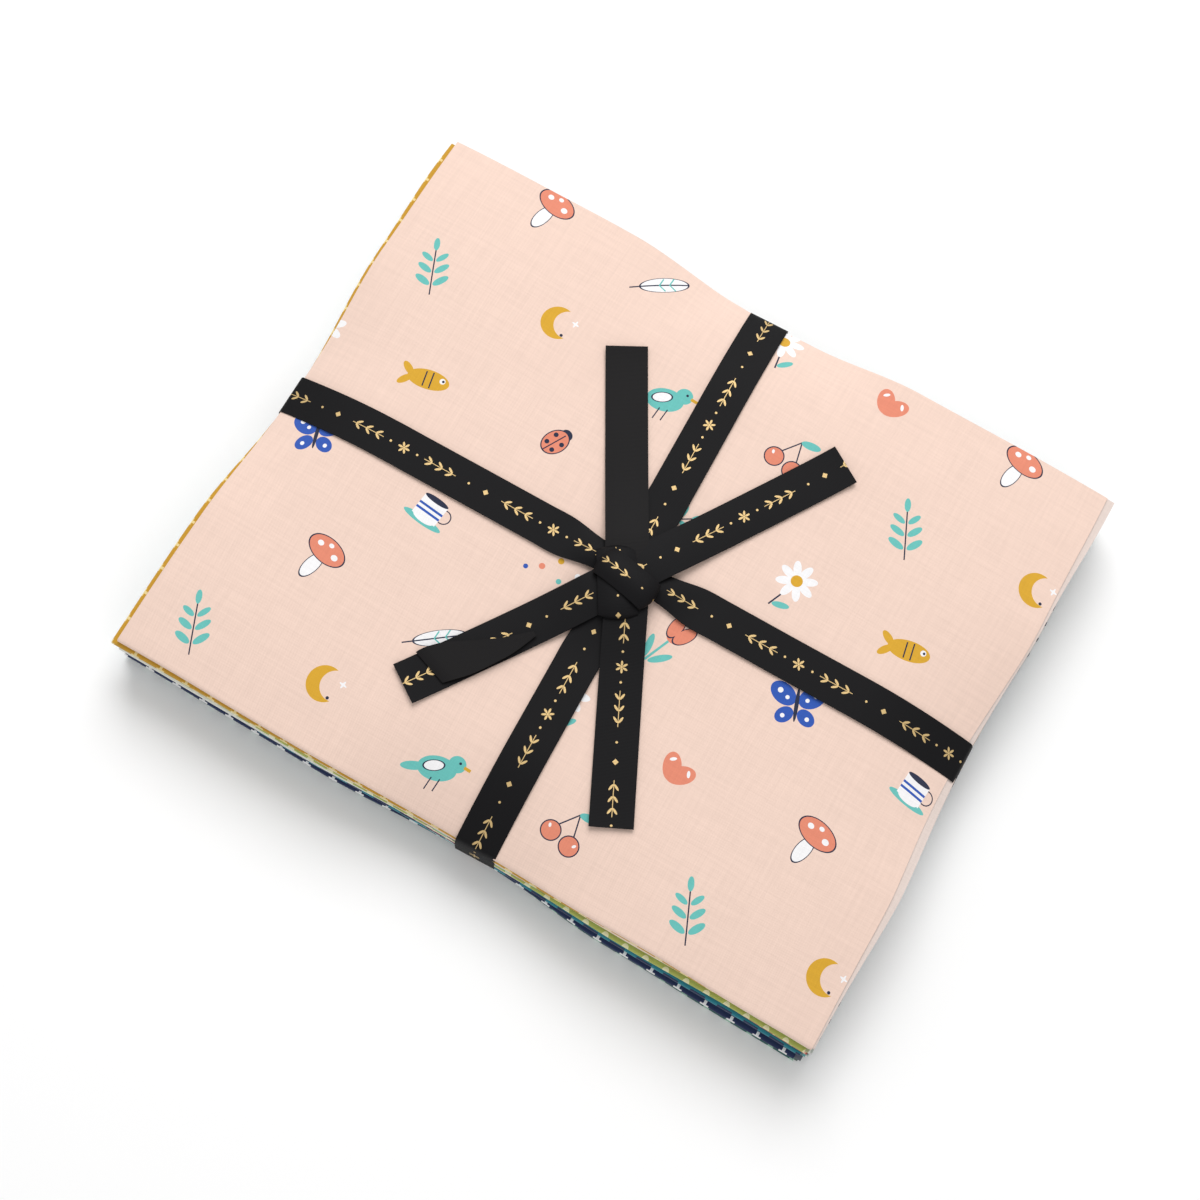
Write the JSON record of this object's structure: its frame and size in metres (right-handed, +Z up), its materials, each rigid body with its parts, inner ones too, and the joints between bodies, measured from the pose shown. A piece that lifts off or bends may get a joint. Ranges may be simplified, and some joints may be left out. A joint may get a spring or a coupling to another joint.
{
  "type": "fat quarter bundle",
  "caption": "Stack of folded quilting cottons tied both ways with a narrow black ribbon, knotted on top with four free ends.",
  "frame": {"origin": "middle of the footprint, on the surface that the bundle lies on", "axes": "+X along the long side of the folded quarters, +Y along their short side, +Z up, out of the knot's side"},
  "size_m": [0.2834, 0.2336, 0.0415],
  "materials": {
    "cotton_01": "deep green printed quilting cotton",
    "cotton_02": "navy printed quilting cotton",
    "cotton_03": "pale mint printed quilting cotton",
    "cotton_04": "white quilting cotton with small black dots",
    "cotton_05": "teal printed quilting cotton",
    "cotton_06": "brick red printed quilting cotton",
    "cotton_07": "grey green printed quilting cotton",
    "cotton_08": "yellow green printed quilting cotton",
    "cotton_09": "turquoise quilting cotton with dark dashes",
    "cotton_10": "salmon printed quilting cotton",
    "cotton_11": "mustard printed quilting cotton",
    "cotton_12": "peach quilting cotton with a tossed multicolour print",
    "ribbon": "black woven ribbon with a small gold ornament on its face"
  },
  "bodies": {
    "root": {"fat_quarter_01": "cotton_01", "fat_quarter_02": "cotton_02", "fat_quarter_03": "cotton_03", "fat_quarter_04": "cotton_04", "fat_quarter_05": "cotton_05", "fat_quarter_06": "cotton_06", "fat_quarter_07": "cotton_07", "fat_quarter_08": "cotton_08", "fat_quarter_09": "cotton_09", "fat_quarter_10": "cotton_10", "fat_quarter_11": "cotton_11", "fat_quarter_12": "cotton_12", "ribbon_band_long": "ribbon", "ribbon_band_short": "ribbon", "ribbon_knot": "ribbon", "ribbon_tail_a": "ribbon", "ribbon_tail_b": "ribbon", "ribbon_tail_c": "ribbon", "ribbon_tail_d": "ribbon"}
  },
  "joints": []
}
